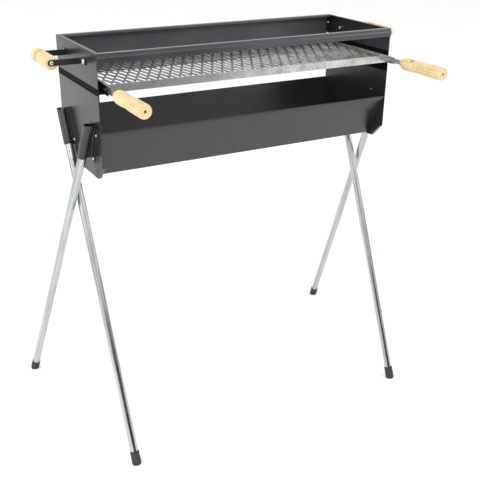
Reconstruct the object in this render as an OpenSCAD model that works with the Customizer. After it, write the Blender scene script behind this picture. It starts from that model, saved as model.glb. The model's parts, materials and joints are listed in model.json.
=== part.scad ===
// Free-standing charcoal roaster: sheet steel firebox and wind shield, slide-out mesh grate,
// two side handles and four plug-in tube legs crossed in pairs. Millimetres, +Z up, front is -Y.

/* [Overall] */
// Outside width of the sheet steel box, over the end panels
box_w = 650; // [560:10:760]
// Outside depth of the sheet steel box, front to back
box_d = 225; // [210:1:260]
// Height of the top edge of the wind shield above the floor
top_z = 806; // [780:1:860]
// Thickness of the sheet steel
sheet_t = 1.2; // [1:0.1:1.4]

/* [Firebox and wind shield] */
// Height of the wind shield's end panels
shield_h = 62; // [50:1:80]
// Height of the gap between the end panels, which the guide rails close
rail_h = 13; // [12:1:18]
// Height of the firebox end panels
firebox_h = 162; // [155:1:175]
// Leg length of the 45 degree corners at the bottom of the firebox end panels
corner_cut = 27.5; // [20:0.5:32]
// Height of the cross bar along the front of the wind shield
cross_bar_h = 17; // [14:1:22]
// Height of the trough, from its flat bottom to its hemmed edges
trough_h = 90; // [80:1:100]
// Width of the trough's flat bottom
trough_floor_w = 144; // [120:1:160]

/* [Grate] */
// Height of the grate's frame bars
bar_h = 15; // [12:1:16]
// Pitch of the mesh diamonds along the width
mesh_pitch_x = 22.5; // [20:0.5:30]
// Pitch of the mesh diamonds from front to back
mesh_pitch_y = 42; // [36:1:48]
// Width of the mesh strands
strand_w = 3.4; // [2.5:0.1:4]
// Length of each turned grate handle
handle_len = 120; // [100:1:140]
// Largest radius of each turned grate handle
handle_r = 13; // [11:0.5:14]

/* [Side handles] */
// Distance from an end panel to the grip's axis
grip_reach = 57; // [45:1:70]
// Distance between the two arms of a side handle
grip_len = 88; // [80:1:100]
// Radius of the side grips
grip_r = 13; // [11:0.5:14]

/* [Legs] */
// Outside radius of the leg tubes
tube_r = 8; // [8:0.5:8]
// Wall of the leg tubes
tube_wall = 1; // [0.8:0.1:1.5]
// Depth to which each leg plugs into its socket
plug_depth = 52; // [45:1:55]
// Half the distance between the inner legs' feet
inner_foot_x = 327; // [320:1:332]
// Distance of the inner legs' feet in front of the box's middle
inner_foot_y = 218; // [200:1:230]
// Half the distance between the outer legs' feet
outer_foot_x = 407; // [400:1:430]
// Distance of the outer legs' feet behind the box's middle
outer_foot_y = 228; // [215:1:240]

/* [Hidden] */

$fn = 48;

paint = [0.07, 0.07, 0.075];
zinc = [0.75, 0.77, 0.79];
galvanised = [0.66, 0.67, 0.68];
pine = [0.93, 0.80, 0.58];
cap_black = [0.05, 0.05, 0.05];

// Heights of the box's edges
shield_z = top_z - shield_h;
firebox_top_z = shield_z - rail_h;
firebox_z = firebox_top_z - firebox_h;

// Half sizes: the end panels stand one sheet inside the back panel and the cross bar
half_w = box_w / 2;
half_d = box_d / 2;
panel_d = half_d - sheet_t;

// Folded edges of the sheet steel
edge_fold = 7;
top_fold = 11;
fold_return = 5;
corner_gap = 0.4;

// Fasteners: shank radii, and how much wider their holes are
corner_screw_r = 1.5;
corner_screw_x = half_w - edge_fold / 2 - 0.6;
corner_screw_len = 9;
grate_rivet_r = 1.3;
socket_screw_r = 1.6;
socket_screw_in = sheet_t + 0.6;
hole_gap = 0.1;

// Trough
trough_z = firebox_z + 3.5;
trough_edge_y = panel_d - sheet_t - 0.4;
hem_h = 9;

// Grate, which lies to the right in its side play
grate_t = 1.5;
grate_half_w = half_w - 11.1;
grate_shift = 6;
grate_half_d = half_d - 2;
grate_top_z = shield_z + 6.3;
grate_z = grate_top_z - bar_h;
ledge_w = 12;
mesh_t = 4.4;
mesh_z = grate_top_z - mesh_t;
strap_t = 1.5;
strap_h = 14;
strap_x = grate_half_w + 0.02;
strap_z = grate_z + (bar_h - strap_h) / 2;
strap_back_y = -grate_half_d + 16;
strap_neck_y = -half_d - 26;
strap_rivet_y = [-grate_half_d + 4, -grate_half_d + 11];
handle_y = -half_d - 52;
handle_x = strap_x + strap_t / 2;
handle_z = strap_z + strap_h / 2;
tang_h = 9;
tang_in = 30;
tang_slot_h = tang_h + 0.2;
handle_bore_r = 2.6;

// Guide rails: strip behind both end panels, shelf under the grate, lip turned down
strip_x = half_w - 2 * sheet_t;
rail_lap = 15;
shelf_x = half_w - 20;
shelf_z = grate_z - 0.05;
rail_lip_h = 6;

// Side handles
arm_t = 2;
arm_h = 11;
arm_z = top_z - 24;
arm_tab = 20;
arm_end = 7;
grip_mid_y = 7;
bolt_from_arm = 8.5;
bolt_r = 2.5;
bolt_head_r = 4.8;
nut_r = 4.6;

// Legs: each axis runs from the foot's centre on the floor to the middle of the socket's top
inner_top = [half_w + 10, 79, firebox_z + 99];
outer_top = [half_w + 9.6, -83, firebox_z + 106];
inner_foot = [inner_foot_x, -inner_foot_y, 0];
outer_foot = [outer_foot_x, outer_foot_y, 0];
inner_socket_len = 72;
outer_socket_len = 76;
socket_t = 1.3;
socket_bore_r = tube_r + 0.06;
socket_flange = 11;
flange_tab = 1;
inner_mouth_r = socket_bore_r + socket_t;
outer_mouth_r = 11;
cap_wall = 1.4;
cap_len = 27;
cap_floor = 7;

// Half extent along Y of a round bar of radius r, with unit axis n, where the floor cuts it
function floor_cut_y(n, r) = r * sqrt(1 - n.x * n.x) / n.z;
function unit(v) = v / norm(v);

// The whole object's middle, front to back, from the grate handles to the outer foot caps
front_y = handle_y - handle_len;
back_y = outer_foot_y + floor_cut_y(unit(outer_top - outer_foot), tube_r + cap_wall);
mid_y = (front_y + back_y) / 2;

module placed() {
    translate([0, -mid_y, 0]) children();
}

module both_sides() {
    children();
    mirror([1, 0, 0]) children();
}

// Draws its children for the right side (+1) or mirrors them to the left (-1)
module on_side(side) {
    placed() if (side > 0) children();
    else mirror([1, 0, 0]) children();
}

// Stands its children on a leg's axis: origin at its top, Z along it, X away from the box
module on_leg(foot, top) {
    d = top - foot;
    translate(top) rotate([atan2(-d.y, d.z), 0, 0]) rotate([0, asin(d.x / norm(d)), 0]) children();
}

// Lays its children on an end panel's face, with Z along the leg's line there
module on_panel(foot, top) {
    d = top - foot;
    translate([half_w, top.y, top.z]) rotate([atan2(-d.y, d.z), 0, 0]) children();
}

module box_from(low, high) {
    translate(low) cube(high - low);
}

// Drill for a fastener's hole, along Z, for a shank of radius r
module hole(r, length = 12) {
    cylinder(r = r + hole_gap, h = length, center = true);
}

// ---- Wind shield ----

module upper_end_panel(side) {
    fold_y = panel_d - top_fold - corner_gap;
    color(paint) on_side(side) difference() {
        union() {
            box_from([half_w - sheet_t, -panel_d, shield_z], [half_w, panel_d, top_z]);
            box_from([half_w - edge_fold, panel_d - sheet_t, shield_z + rail_lap + 1],
                [half_w, panel_d, top_z - sheet_t]);
            box_from([half_w - edge_fold, -fold_y, top_z - sheet_t], [half_w, fold_y, top_z]);
        }
        at_back_screws() hole(corner_screw_r, 6);
        at_arm_bolts() hole(bolt_r);
    }
}

// Edge folded back along the top of the cross bar and of the back panel
module folded_top(outer_y, inward) {
    plate_x = half_w - sheet_t;
    return_x = plate_x - corner_gap;
    y0 = outer_y + inward * top_fold;
    y1 = y0 - inward * sheet_t;
    box_from([-plate_x, min(outer_y, y0), top_z - sheet_t], [plate_x, max(outer_y, y0), top_z]);
    box_from([-return_x, min(y0, y1), top_z - fold_return], [return_x, max(y0, y1), top_z]);
}

module front_cross_bar() {
    color(paint) placed() {
        box_from([-half_w, -half_d, top_z - cross_bar_h], [half_w, -panel_d, top_z]);
        folded_top(-half_d, 1);
    }
}

module upper_back_panel() {
    hem_x = half_w - edge_fold - 1;
    hem_z = firebox_top_z - 7;
    color(paint) placed() difference() {
        union() {
            box_from([-half_w, panel_d, hem_z], [half_w, half_d, top_z]);
            box_from([-hem_x, half_d - edge_fold, hem_z], [hem_x, half_d, hem_z + sheet_t]);
            folded_top(half_d, -1);
        }
        both_sides() at_back_screws() hole(corner_screw_r, 6);
    }
}

// ---- Guide rails ----

module guide_rail(side) {
    color(paint) on_side(side) {
        box_from([strip_x, -panel_d, firebox_top_z - rail_lap],
            [strip_x + sheet_t, panel_d, shield_z + rail_lap]);
        box_from([shelf_x, -panel_d, shelf_z - sheet_t], [strip_x + 0.5, panel_d, shelf_z]);
        box_from([shelf_x, -panel_d, shelf_z - rail_lip_h], [shelf_x + sheet_t, panel_d, shelf_z]);
    }
}

// Flat-headed rivet along Z, its grip from z = 0 up
module rivet(grip, r) {
    cylinder(r = r, h = grip);
    translate([0, 0, grip]) cylinder(r1 = r * 1.9, r2 = r * 1.3, h = r * 0.5);
    translate([0, 0, -r * 0.5]) cylinder(r1 = r * 1.3, r2 = r * 1.9, h = r * 0.5);
}

// Places of the screws that hold the back panel on an end panel's fold, Z pointing inwards
module at_back_screws() {
    for (z = [shield_z + 20, top_z - 18])
        translate([corner_screw_x, half_d, z]) rotate([90, 0, 0]) children();
}

module corner_screw() {
    cylinder(r = corner_screw_r, h = corner_screw_len);
    translate([0, 0, -1.6]) cylinder(r1 = 2.4, r2 = 3.4, h = 1.6);
}

module corner_screws() {
    color(zinc) for (side = [-1, 1]) on_side(side) at_back_screws() corner_screw();
}

// ---- Firebox ----

// Outline of a firebox end panel in (y, z), drawn in by i all round
function end_outline(i) = let (
        k = tan(22.5) * i,
        d = panel_d - i,
        low = firebox_z + i,
        corner_z = firebox_z + corner_cut + k,
        corner_y = panel_d - corner_cut - k
    ) [[-d, firebox_top_z - i], [-d, corner_z], [-corner_y, low], [corner_y, low],
        [d, corner_z], [d, firebox_top_z - i]];

// Extrudes a (y, z) outline along X, from x up by length
module extrude_x(x, length) {
    translate([x, 0, 0]) rotate([90, 0, 90]) linear_extrude(length) children();
}

// Firebox end panel, folded in along its bottom and its cut corners
module lower_end_panel(side) {
    color(paint) on_side(side) difference() {
        union() {
            extrude_x(half_w - sheet_t, sheet_t) polygon(end_outline(0));
            extrude_x(half_w - edge_fold, edge_fold) difference() {
                polygon(end_outline(0));
                polygon(end_outline(sheet_t));
                translate([-half_d, firebox_z + corner_cut]) square([box_d, firebox_h]);
            }
        }
        at_socket_screws() hole(socket_screw_r, 6);
    }
}

// Section of the trough in (y, z): two sloping sides, a flat bottom, both edges hemmed outwards
module trough_section() {
    floor_y = trough_floor_w / 2;
    slope = atan2(trough_h, trough_edge_y - floor_y);
    across = sheet_t / sin(slope);
    foot_in = sheet_t * tan(slope / 2);
    edge_z = trough_z + trough_h;
    polygon([[-trough_edge_y, edge_z], [-floor_y, trough_z], [floor_y, trough_z],
        [trough_edge_y, edge_z], [trough_edge_y - across, edge_z],
        [floor_y - foot_in, trough_z + sheet_t], [-floor_y + foot_in, trough_z + sheet_t],
        [-trough_edge_y + across, edge_z]]);
    drop = hem_h * cos(slope);
    for (s = [-1, 1])
        polygon([[s * (trough_edge_y + 0.3), edge_z],
            [s * (trough_edge_y - across / 2), edge_z],
            [s * (trough_edge_y - across / 2 - drop), edge_z - hem_h * sin(slope)],
            [s * (trough_edge_y + 0.3 - drop), edge_z - hem_h * sin(slope)]]);
}

module firebox_trough() {
    color(paint) placed() extrude_x(-half_w + sheet_t, box_w - 2 * sheet_t) trough_section();
}

// ---- Grate ----

mesh_half_w = grate_half_w - grate_t - 0.3;
mesh_half_d = grate_half_d - grate_t - 0.3;
mesh_margin = 3;

// Moves its children to where the grate lies between the rails
module on_grate() {
    translate([grate_shift, 0, 0]) children();
}

// Expanded metal: rows of diamonds, long axis front to back, in a closed border
module grate_mesh() {
    hole_x = mesh_pitch_x / 2 - strand_w / 2 / cos(atan2(mesh_pitch_x, mesh_pitch_y));
    hole_y = hole_x * mesh_pitch_y / mesh_pitch_x;
    columns = ceil(mesh_half_w / mesh_pitch_x) + 1;
    rows = ceil(mesh_half_d / mesh_pitch_y) + 1;
    inner = [mesh_half_w - mesh_margin, mesh_half_d - mesh_margin];
    color(galvanised) on_grate() placed() translate([0, 0, mesh_z]) linear_extrude(mesh_t) difference() {
        square(2 * [mesh_half_w, mesh_half_d], center = true);
        intersection() {
            square(2 * inner, center = true);
            for (i = [-columns:columns], j = [-rows:rows], half = [0, 0.5])
                translate([(i + half) * mesh_pitch_x, (j + half) * mesh_pitch_y])
                    polygon([[-hole_x, 0], [0, -hole_y], [hole_x, 0], [0, hole_y]]);
        }
    }
}

// Angle along the grate's front (inward = 1) or back (inward = -1), with a ledge for the mesh
module cross_angle(outer_y, inward) {
    face = outer_y + inward * grate_t;
    ledge = outer_y + inward * ledge_w;
    ledge_x = grate_half_w - grate_t;
    box_from([-grate_half_w, min(outer_y, face), grate_z],
        [grate_half_w, max(outer_y, face), grate_top_z]);
    box_from([-ledge_x, min(outer_y, ledge), mesh_z - grate_t],
        [ledge_x, max(outer_y, ledge), mesh_z]);
}

module grate_front_bar() {
    color(galvanised) on_grate() placed() cross_angle(-grate_half_d, 1);
}

module grate_back_bar() {
    color(galvanised) on_grate() placed() cross_angle(grate_half_d, -1);
}

// Side of the grate: upright web that rides on the rail's shelf, and a ledge for the mesh
module grate_side_bar(side) {
    web_y = grate_half_d - grate_t;
    ledge_y = grate_half_d - ledge_w - corner_gap;
    color(galvanised) on_grate() on_side(side) difference() {
        union() {
            box_from([grate_half_w - grate_t, -web_y, grate_z],
                [grate_half_w, web_y, grate_top_z]);
            box_from([grate_half_w - ledge_w, -ledge_y, mesh_z - grate_t],
                [grate_half_w, ledge_y, mesh_z]);
        }
        at_grate_rivets() hole(grate_rivet_r, 6);
    }
}

// Places of one side's strap rivets, in the side bar's inner face, Z pointing outwards
module at_grate_rivets() {
    for (y = strap_rivet_y) translate([grate_half_w - grate_t, y, strap_z + 5]) rotate([0, 90, 0])
        children();
}

// Flat strap riveted outside the side bar; its narrower tang runs on into the wooden handle
module grate_strap(side) {
    tang_z = handle_z - tang_h / 2;
    color(galvanised) on_grate() on_side(side) difference() {
        union() {
            box_from([strap_x, strap_neck_y, strap_z],
                [strap_x + strap_t, strap_back_y, strap_z + strap_h]);
            box_from([strap_x, handle_y - tang_in, tang_z],
                [strap_x + strap_t, strap_neck_y + 1, tang_z + tang_h]);
        }
        at_grate_rivets() hole(grate_rivet_r);
    }
}

module grate_rivets() {
    grip = grate_t + strap_t + 0.02;
    color(zinc) on_grate() for (side = [-1, 1]) on_side(side)
        at_grate_rivets() rivet(grip, grate_rivet_r);
}

// Turned profile of a grate handle: rounded barrel, slight waist, straight grip, rounded end
function handle_radius(s) =
    let (nose = 0.16, waist = 0.42, tail = 0.96)
    s < nose ? handle_r * sqrt(1 - pow(1 - s / nose, 2) * 0.42)
    : s < tail ? handle_r * (1 - 0.09 * exp(-pow((s - waist) / 0.12, 2)))
    : handle_r * (1 - 0.16 * pow((s - tail) / (1 - tail), 2));

handle_steps = 22;

module grate_handle(side) {
    outline = [for (i = [0:handle_steps])
        [handle_radius(i / handle_steps), handle_len * i / handle_steps]];
    color(pine) on_grate() on_side(side) translate([handle_x, handle_y, handle_z]) difference() {
        rotate([90, 0, 0]) rotate_extrude() polygon(concat([[0, 0]], outline, [[0, handle_len]]));
        rotate([90, 0, 0]) translate([0, 0, -1]) cylinder(r = handle_bore_r, h = handle_len + 2);
        translate([-strap_t / 2 - 0.1, -tang_in - 0.3, -tang_slot_h / 2])
            cube([strap_t + 0.2, tang_in + 1.3, tang_slot_h]);
    }
}

// ---- Side handles ----

// Flat arm that stands out from the end panel, with a tab bent flat on it; dir points to the tab
module side_arm(side, dir) {
    arm_y = grip_mid_y + dir * grip_len / 2;
    reach = grip_reach + arm_end;
    color(paint) on_side(side) difference() {
        union() {
            box_from([half_w, min(arm_y, arm_y + dir * arm_t), arm_z - arm_h / 2],
                [half_w + reach - arm_h / 2, max(arm_y, arm_y + dir * arm_t), arm_z + arm_h / 2]);
            translate([half_w + reach - arm_h / 2, arm_y, arm_z]) rotate([-90 * dir, 0, 0])
                cylinder(r = arm_h / 2, h = arm_t);
            box_from([half_w, min(arm_y, arm_y + dir * arm_tab), arm_z - arm_h / 2],
                [half_w + arm_t, max(arm_y, arm_y + dir * arm_tab), arm_z + arm_h / 2]);
        }
        translate([half_w + grip_reach, arm_y, arm_z]) rotate([90, 0, 0])
            cylinder(r = 2, h = 4 * arm_t, center = true);
        at_arm_bolts() hole(bolt_r);
    }
}

// Wooden grip between the arms, with two turned grooves near its rear end
module side_grip(side) {
    groove = 1.1;
    groove_w = 2.4;
    grooves = [0.62, 0.74];
    end_r = grip_r - 1.2;
    outline = concat([[0, 0], [end_r, 0], [grip_r, 3]],
        [for (g = grooves) each [[grip_r, g * grip_len - groove_w], [grip_r - groove, g * grip_len],
            [grip_r, g * grip_len + groove_w]]],
        [[grip_r, grip_len - 3], [end_r, grip_len], [0, grip_len]]);
    color(pine) on_side(side)
        translate([half_w + grip_reach, grip_mid_y - grip_len / 2, arm_z]) difference() {
            rotate([-90, 0, 0]) rotate_extrude() polygon(outline);
            for (y = [-1, grip_len - 15]) translate([0, y, 0]) rotate([-90, 0, 0])
                cylinder(r = 1.6, h = 16);
        }
}

module side_grip_screws() {
    color(zinc) for (side = [-1, 1], dir = [-1, 1]) on_side(side)
        translate([half_w + grip_reach, grip_mid_y + dir * (grip_len / 2 + arm_t), arm_z])
            rotate([90 * dir, 0, 0]) {
                cylinder(r = 1.58, h = 14);
                translate([0, 0, -2]) difference() {
                    cylinder(r1 = 2.8, r2 = 3.8, h = 2);
                    translate([0, 0, -0.5]) cylinder(r = 1.3, h = 1.6);
                }
            }
}

// Places of one side's arm bolts, on the end panel's outer face, Z pointing outwards
module at_arm_bolts() {
    for (dir = [-1, 1])
        translate([half_w, grip_mid_y + dir * (grip_len / 2 + arm_t + bolt_from_arm), arm_z])
            rotate([0, 90, 0]) children();
}

module side_arm_bolts() {
    color(zinc) for (side = [-1, 1]) on_side(side) at_arm_bolts() {
        translate([0, 0, -sheet_t - 6]) cylinder(r = bolt_r, h = sheet_t + 6 + arm_t);
        translate([0, 0, arm_t]) cylinder(r1 = bolt_head_r, r2 = bolt_head_r * 0.66, h = 2.6);
    }
}

module side_arm_nuts() {
    color(zinc) for (side = [-1, 1]) on_side(side) at_arm_bolts()
        translate([0, 0, -sheet_t - 4]) difference() {
            cylinder(r = nut_r, h = 4, $fn = 6);
            translate([0, 0, -1]) cylinder(r = bolt_r + 0.03, h = 6);
        }
}

// ---- Leg sockets ----

// Flanges flat on the panel on both sides of the sleeve, a little longer than it at the bottom
module socket_flanges(foot, top, length, sleeve_r) {
    on_panel(foot, top) for (dir = [-1, 1])
        box_from([0, dir > 0 ? sleeve_r - socket_t : -sleeve_r - socket_flange, -length - flange_tab],
            [socket_t, dir > 0 ? sleeve_r + socket_flange : -sleeve_r + socket_t, -4]);
}

// Sleeve round the leg, joined to the panel by two side walls, its mouth cut level. The tube
// stops at a pressed bead, above which a wider mouth is flared.
module leg_socket(side, foot, top, length, mouth_r) {
    sleeve_r = socket_bore_r + socket_t;
    wall_y = sleeve_r - 0.2;
    flare = length - plug_depth - 6;
    over = 10;
    flared = mouth_r > sleeve_r;
    flare_end_r = sleeve_r + (mouth_r - sleeve_r) * (flare + over) / flare;
    color(paint) on_side(side) difference() {
        union() {
            on_leg(foot, top) {
                translate([0, 0, -length])
                    cylinder(r = sleeve_r, h = flared ? length - flare + 0.6 : length + over);
                if (flared) translate([0, 0, -flare])
                    cylinder(r1 = sleeve_r, r2 = flare_end_r, h = flare + over);
                for (dir = [-1, 1])
                    box_from([-30, dir > 0 ? wall_y - socket_t : -wall_y, -length],
                        [0, dir > 0 ? wall_y : -wall_y + socket_t, over - 2]);
            }
            socket_flanges(foot, top, length, sleeve_r);
        }
        on_leg(foot, top) {
            translate([0, 0, -length - 1]) cylinder(r = socket_bore_r, h = plug_depth + 1);
            translate([0, 0, -length - 1]) cylinder(r = socket_bore_r - 1.8, h = length + over + 2);
            translate([0, 0, -flare]) cylinder(r1 = socket_bore_r - 0.4,
                r2 = flared ? flare_end_r - socket_t : socket_bore_r - 0.4, h = flare + over + 0.05);
        }
        box_from([0, -half_d, 0], [half_w, half_d, top_z]);
        translate([half_w - 1, top.y - 40, top.z]) cube([60, 80, 40]);
        at_socket_screws() hole(socket_screw_r);
    }
}

// Places of one socket's flange screws, these distances below its top, Z pointing outwards
module at_flange_screws(foot, top, drops) {
    offset = socket_bore_r + socket_t + socket_flange / 2;
    on_panel(foot, top) for (dir = [-1, 1], drop = drops)
        translate([0, dir * offset, -drop]) rotate([0, 90, 0]) children();
}

module at_socket_screws() {
    at_flange_screws(inner_foot, inner_top, [inner_socket_len - 6]) children();
    at_flange_screws(outer_foot, outer_top, [15, outer_socket_len - 5]) children();
}

module socket_screws() {
    color(zinc) for (side = [-1, 1]) on_side(side) at_socket_screws() {
        translate([0, 0, -socket_screw_in]) cylinder(r = socket_screw_r, h = socket_screw_in + socket_t);
        translate([0, 0, socket_t]) cylinder(r1 = 3, r2 = 2, h = 1.4);
    }
}

// ---- Legs ----

module leg_tube(side, foot, top, socket_len) {
    span = norm(top - foot);
    length = span - socket_len + plug_depth - 0.5 - cap_floor;
    color(zinc) on_side(side) on_leg(foot, top) translate([0, 0, cap_floor - span]) difference() {
        cylinder(r = tube_r, h = length);
        translate([0, 0, -1]) cylinder(r = tube_r - tube_wall, h = length + 2);
    }
}

// Pushed-on end cap, cut flat where it stands on the floor
module foot_cap(side, foot, top) {
    span = norm(top - foot);
    color(cap_black) on_side(side) difference() {
        on_leg(foot, top) translate([0, 0, -span]) difference() {
            translate([0, 0, -12]) cylinder(r = tube_r + cap_wall, h = 12 + cap_len);
            translate([0, 0, cap_floor]) cylinder(r = tube_r + 0.02, h = cap_len);
        }
        translate([foot.x - 50, foot.y - 50, -50]) cube([100, 100, 50]);
    }
}

// ---- Assembly ----

upper_end_panel(-1);  // upper_end_panel_left
upper_end_panel(1);  // upper_end_panel_right
upper_back_panel();
front_cross_bar();
guide_rail(-1);  // guide_rail_left
guide_rail(1);  // guide_rail_right
lower_end_panel(-1);  // lower_end_panel_left
lower_end_panel(1);  // lower_end_panel_right
firebox_trough();
corner_screws();
grate_mesh();
grate_front_bar();
grate_back_bar();
grate_side_bar(-1);  // grate_side_bar_left
grate_side_bar(1);  // grate_side_bar_right
grate_strap(-1);  // grate_strap_left
grate_strap(1);  // grate_strap_right
grate_rivets();
grate_handle(-1);  // grate_handle_left
grate_handle(1);  // grate_handle_right
side_arm(-1, -1);  // side_arm_left_front
side_arm(-1, 1);  // side_arm_left_rear
side_arm(1, -1);  // side_arm_right_front
side_arm(1, 1);  // side_arm_right_rear
side_grip(-1);  // side_grip_left
side_grip(1);  // side_grip_right
side_grip_screws();
side_arm_bolts();
side_arm_nuts();
leg_socket(-1, inner_foot, inner_top, inner_socket_len, inner_mouth_r);  // leg_socket_inner_left
leg_socket(1, inner_foot, inner_top, inner_socket_len, inner_mouth_r);  // leg_socket_inner_right
leg_socket(-1, outer_foot, outer_top, outer_socket_len, outer_mouth_r);  // leg_socket_outer_left
leg_socket(1, outer_foot, outer_top, outer_socket_len, outer_mouth_r);  // leg_socket_outer_right
socket_screws();
leg_tube(-1, inner_foot, inner_top, inner_socket_len);  // leg_tube_inner_left
leg_tube(1, inner_foot, inner_top, inner_socket_len);  // leg_tube_inner_right
leg_tube(-1, outer_foot, outer_top, outer_socket_len);  // leg_tube_outer_left
leg_tube(1, outer_foot, outer_top, outer_socket_len);  // leg_tube_outer_right
foot_cap(-1, inner_foot, inner_top);  // foot_cap_inner_left
foot_cap(1, inner_foot, inner_top);  // foot_cap_inner_right
foot_cap(-1, outer_foot, outer_top);  // foot_cap_outer_left
foot_cap(1, outer_foot, outer_top);  // foot_cap_outer_right
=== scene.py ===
"""Looks for the free-standing charcoal roaster: detailed sheet steel, mesh, wood and tube pieces."""

import json
import math

import bmesh
import bpy
from mathutils import Matrix, Vector


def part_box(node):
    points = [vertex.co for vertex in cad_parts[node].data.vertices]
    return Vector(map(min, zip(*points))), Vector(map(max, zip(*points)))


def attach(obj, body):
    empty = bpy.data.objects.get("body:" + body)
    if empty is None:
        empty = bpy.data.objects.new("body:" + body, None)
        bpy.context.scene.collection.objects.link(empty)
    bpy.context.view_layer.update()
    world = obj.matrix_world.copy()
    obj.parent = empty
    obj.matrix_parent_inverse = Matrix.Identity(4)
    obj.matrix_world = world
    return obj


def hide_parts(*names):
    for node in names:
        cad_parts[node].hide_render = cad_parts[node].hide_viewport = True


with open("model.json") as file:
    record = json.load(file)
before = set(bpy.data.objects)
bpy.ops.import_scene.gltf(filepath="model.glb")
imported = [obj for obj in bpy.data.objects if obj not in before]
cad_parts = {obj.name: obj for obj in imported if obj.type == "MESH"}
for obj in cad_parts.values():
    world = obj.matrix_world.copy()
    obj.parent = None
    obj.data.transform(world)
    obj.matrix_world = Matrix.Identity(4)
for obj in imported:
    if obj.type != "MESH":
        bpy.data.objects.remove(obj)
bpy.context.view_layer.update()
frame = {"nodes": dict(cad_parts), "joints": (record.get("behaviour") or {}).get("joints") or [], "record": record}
MM = 0.001
SIDES = {"left": -1, "right": 1}
LEG_PAIRS = ("inner", "outer")


# ---------------------------------------------------------------- camera, light and floor

CAMERA_AT = Vector((-0.7913, -1.4135, 1.0743))
CAMERA_AZIMUTH = math.radians(29.793)
CAMERA_DOWN = math.radians(24.015)
CAMERA_ROLL = math.radians(-0.815)
CAMERA_LENS = 59.59


def add_camera():
    data = bpy.data.cameras.new("camera")
    data.lens = CAMERA_LENS
    data.sensor_width = 36
    camera = bpy.data.objects.new("camera", data)
    bpy.context.scene.collection.objects.link(camera)
    flat = math.cos(CAMERA_DOWN)
    forward = Vector((math.sin(CAMERA_AZIMUTH) * flat, math.cos(CAMERA_AZIMUTH) * flat,
                      -math.sin(CAMERA_DOWN)))
    right = forward.cross(Vector((0, 0, 1))).normalized()
    down = forward.cross(right)
    c, s = math.cos(CAMERA_ROLL), math.sin(CAMERA_ROLL)
    x_axis = c * right + s * down
    y_axis = s * right - c * down
    turn = Matrix((x_axis, y_axis, -forward)).transposed()
    camera.matrix_world = Matrix.Translation(CAMERA_AT) @ turn.to_4x4()
    bpy.context.scene.camera = camera


def add_area_light(name, at, target, size, power):
    data = bpy.data.lights.new(name, "AREA")
    data.shape = "RECTANGLE"
    data.size, data.size_y = size
    data.energy = power
    light = bpy.data.objects.new(name, data)
    bpy.context.scene.collection.objects.link(light)
    aim = (Vector(target) - Vector(at)).to_track_quat("-Z", "Y")
    light.matrix_world = Matrix.Translation(at) @ aim.to_matrix().to_4x4()


def add_world():
    """A white room with soft grey flags at some directions, which only bright metal shows."""
    world = bpy.data.worlds.new("studio")
    bpy.context.scene.world = world
    world.use_nodes = True
    tree = world.node_tree
    tree.nodes.clear()
    n = Nodes(tree)
    direction = n.add("ShaderNodeTexCoord").outputs["Generated"]
    part = n.add("ShaderNodeSeparateXYZ", {"Vector": direction})
    angle = n.math("ARCTAN2", part.outputs["Y"], part.outputs["X"])
    bands = n.math("SINE", n.math("MULTIPLY_ADD", angle, 5.0, 0.7))
    level = n.ramp(bands, [(0.0, (0.84,) * 3), (0.3, (0.92,) * 3), (0.55, (1.0,) * 3)])
    height = n.ramp(n.math("MULTIPLY_ADD", part.outputs["Z"], 0.5, 0.5),
                    [(0.45, (0.9,) * 3), (0.62, (1.0,) * 3)])
    above = n.span(part.outputs["Z"], 0.35, 0.7)
    level = n.mix(above, level, (1.0, 1.0, 1.0))
    colour = n.mix(1.0, level, height, "MULTIPLY")
    background = n.add("ShaderNodeBackground", {"Color": colour, "Strength": 1.08})
    out = n.add("ShaderNodeOutputWorld")
    tree.links.new(background.outputs[0], out.inputs[0])


def flat_grid(name, segments, half, finish):
    """An object that is one flat square grid, for the stage."""
    bm = bmesh.new()
    bmesh.ops.create_grid(bm, x_segments=segments, y_segments=segments, size=half)
    data = bpy.data.meshes.new(name)
    bm.to_mesh(data)
    bm.free()
    data.materials.append(finish)
    grid = bpy.data.objects.new(name, data)
    bpy.context.scene.collection.objects.link(grid)
    return grid


def add_floor():
    floor = flat_grid("floor", 8, 30, floor_material())


# Each dark card's place (x, y), turn about Z in degrees, and width
DARK_CARDS = ((-0.3, -1.6, 0, 2.2), (-2.3, 0.3, 76, 0.45), (-1.7, 1.7, 40, 0.5),
              (0.2, 2.3, 0, 0.7), (2.3, 0.9, 115, 0.6), (2.1, -0.9, 60, 0.45))
CARD_HEIGHT = 0.8
CARD_MIDDLE_Z = 0.35


def add_dark_cards():
    """Dark upright cards round the roaster, seen only by reflections: they draw the dark streaks
    in the bright tubes and darken the left halves of the fronts."""
    made, _, shader = material("dark_card")
    shader.inputs["Base Color"].default_value = (0.01, 0.009, 0.008, 1)
    shader.inputs["Roughness"].default_value = 1.0
    for i, (x, y, turn, width) in enumerate(DARK_CARDS):
        card = flat_grid(f"dark_card_{i}", 2, 0.5, made)
        card.matrix_world = (Matrix.Translation((x, y, CARD_MIDDLE_Z))
                             @ Matrix.Rotation(math.radians(turn), 4, "Z")
                             @ Matrix.Rotation(math.pi / 2, 4, "X")
                             @ Matrix.Diagonal((width, CARD_HEIGHT, 1, 1)))
        card.visible_camera = card.visible_diffuse = card.visible_shadow = False


# ---------------------------------------------------------------- materials

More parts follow.
